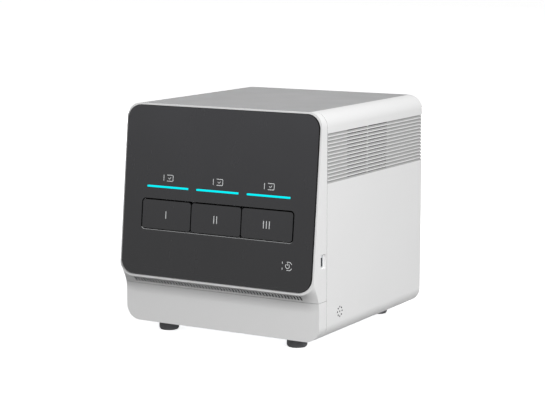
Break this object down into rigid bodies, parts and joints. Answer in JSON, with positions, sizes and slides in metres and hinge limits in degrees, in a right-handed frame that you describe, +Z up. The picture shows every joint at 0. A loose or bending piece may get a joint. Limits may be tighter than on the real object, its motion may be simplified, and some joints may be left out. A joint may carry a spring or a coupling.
{
  "type": "real-time pcr machine",
  "caption": "Compact bench-top real-time PCR instrument: leaning black glass front with motorised sample drawers, status lights, louvred white casing and rubber feet.",
  "frame": {"origin": "on the bench, under the middle of the machine's bounding box", "axes": "+X to the right seen from the front, +Y to the rear, +Z up; the glass front faces -Y"},
  "size_m": [0.3, 0.3194, 0.3117],
  "materials": {
    "white_shell": "satin white moulded plastic",
    "grey_cover": "satin light grey paint",
    "black_glass": "smooth dark grey glass-like front",
    "status_light": "lit cyan light guide",
    "rubber_foot": "dark grey rubber",
    "sheet_steel": "plated sheet steel",
    "aluminium": "machined",
    "motor_steel": "black motor housing",
    "black_plastic": "fine-grained black plastic",
    "circuit_board": "green circuit board",
    "ceramic": "white ceramic",
    "brass": "cut brass"
  },
  "bodies": {
    "housing": {"front_bezel": "white_shell", "front_skirt": "white_shell", "front_glass": "black_glass", "light_bar_1": "status_light", "light_bar_2": "status_light", "light_bar_3": "status_light", "key_board": "circuit_board", "usb_port": "sheet_steel", "speaker": "black_plastic", "side_cover_right": "white_shell", "side_cover_left": "white_shell", "top_cover": "grey_cover", "base_plate": "sheet_steel", "foot_front_left": "rubber_foot", "foot_front_right": "rubber_foot", "foot_rear_left": "rubber_foot", "foot_rear_right": "rubber_foot", "guide_wall_1": "sheet_steel", "guide_wall_2": "sheet_steel", "guide_wall_3": "sheet_steel", "guide_wall_4": "sheet_steel", "chassis_deck": "sheet_steel", "module_bridge": "sheet_steel", "drawer_motor_1": "motor_steel", "drawer_motor_2": "motor_steel", "drawer_motor_3": "motor_steel", "lid_motor_1": "motor_steel", "lid_motor_2": "motor_steel", "lid_motor_3": "motor_steel", "optics_unit": "black_plastic", "power_supply": "aluminium", "main_board": "circuit_board", "rear_panel": "white_shell", "fan_frame": "black_plastic", "power_inlet": "black_plastic", "lan_port": "sheet_steel"},
    "drawer_1": {"drawer_front_1": "black_glass", "drawer_tray_1": "sheet_steel", "heat_sink_1": "aluminium", "thermo_plate_1": "ceramic", "sample_block_1": "aluminium"},
    "drawer_2": {"drawer_front_2": "black_glass", "drawer_tray_2": "sheet_steel", "heat_sink_2": "aluminium", "thermo_plate_2": "ceramic", "sample_block_2": "aluminium"},
    "drawer_3": {"drawer_front_3": "black_glass", "drawer_tray_3": "sheet_steel", "heat_sink_3": "aluminium", "thermo_plate_3": "ceramic", "sample_block_3": "aluminium"},
    "pinion_1": {"drive_pinion_1": "brass"},
    "pinion_2": {"drive_pinion_2": "brass"},
    "pinion_3": {"drive_pinion_3": "brass"},
    "lid_1": {"hot_lid_1": "aluminium"},
    "lid_2": {"hot_lid_2": "aluminium"},
    "lid_3": {"hot_lid_3": "aluminium"},
    "rotor": {"fan_rotor": "black_plastic"},
    "rocker": {"power_rocker": "black_plastic"}
  },
  "joints": [
    {"name": "drawer_1_slide", "type": "slide", "parent": "housing", "child": "drawer_1", "axis": [0, -1, 0], "range_m": [0, 0.075]},
    {"name": "drawer_2_slide", "type": "slide", "parent": "housing", "child": "drawer_2", "axis": [0, -1, 0], "range_m": [0, 0.075]},
    {"name": "drawer_3_slide", "type": "slide", "parent": "housing", "child": "drawer_3", "axis": [0, -1, 0], "range_m": [0, 0.075]},
    {"name": "pinion_1_turn", "type": "hinge", "parent": "housing", "child": "pinion_1", "pos_m": [-0.0491, -0.0753, 0.1457], "axis": [1, 0, 0], "range_deg": [0, 480]},
    {"name": "pinion_2_turn", "type": "hinge", "parent": "housing", "child": "pinion_2", "pos_m": [0.0287, -0.0753, 0.1457], "axis": [1, 0, 0], "range_deg": [0, 480]},
    {"name": "pinion_3_turn", "type": "hinge", "parent": "housing", "child": "pinion_3", "pos_m": [0.1065, -0.0753, 0.1457], "axis": [1, 0, 0], "range_deg": [0, 480]},
    {"name": "lid_1_press", "type": "slide", "parent": "housing", "child": "lid_1", "axis": [0, 0, -1], "range_m": [0, 0.003]},
    {"name": "lid_2_press", "type": "slide", "parent": "housing", "child": "lid_2", "axis": [0, 0, -1], "range_m": [0, 0.003]},
    {"name": "lid_3_press", "type": "slide", "parent": "housing", "child": "lid_3", "axis": [0, 0, -1], "range_m": [0, 0.003]},
    {"name": "fan_spin", "type": "hinge", "parent": "housing", "child": "rotor", "pos_m": [0, 0.14, 0.2047], "axis": [0, 1, 0], "continuous": true},
    {"name": "power_switch", "type": "hinge", "parent": "housing", "child": "rocker", "pos_m": [-0.095, 0.155, 0.0807], "axis": [1, 0, 0], "range_deg": [0, 16]}
  ],
  "couplings": [
    {"joint": "pinion_1_turn", "follows": "drawer_1_slide", "rad_per_m": 111.11},
    {"joint": "pinion_2_turn", "follows": "drawer_2_slide", "rad_per_m": 111.11},
    {"joint": "pinion_3_turn", "follows": "drawer_3_slide", "rad_per_m": 111.11}
  ]
}
